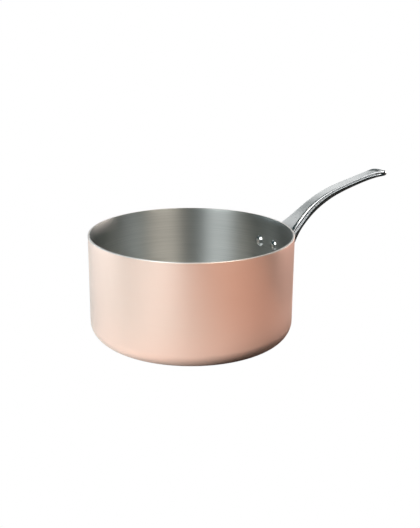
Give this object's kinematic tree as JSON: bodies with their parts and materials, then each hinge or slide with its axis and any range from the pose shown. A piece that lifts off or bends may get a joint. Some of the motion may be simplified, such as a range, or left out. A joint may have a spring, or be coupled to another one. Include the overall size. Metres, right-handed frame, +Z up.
{
  "type": "saucepan",
  "caption": "Straight-sided copper saucepan with a rounded base corner, a brushed steel lining and a long curved cast steel handle riveted to its side.",
  "frame": {"origin": "centre of the underside of the base, on the surface that the pan stands on", "axes": "+Z up, out of the mouth of the pan; +X from the pan's axis along the handle; +Y completes a right-handed frame"},
  "size_m": [0.3815, 0.204, 0.1361],
  "materials": {
    "copper": null,
    "lining": "stainless steel brushed round the pan",
    "handle_steel": "cast stainless steel, satin on top and polished along the sides",
    "rivet_steel": "polished stainless steel"
  },
  "bodies": {
    "root": {"copper_shell": "copper", "steel_lining": "lining", "handle": "handle_steel", "rivet_left": "rivet_steel", "rivet_right": "rivet_steel"}
  },
  "joints": []
}
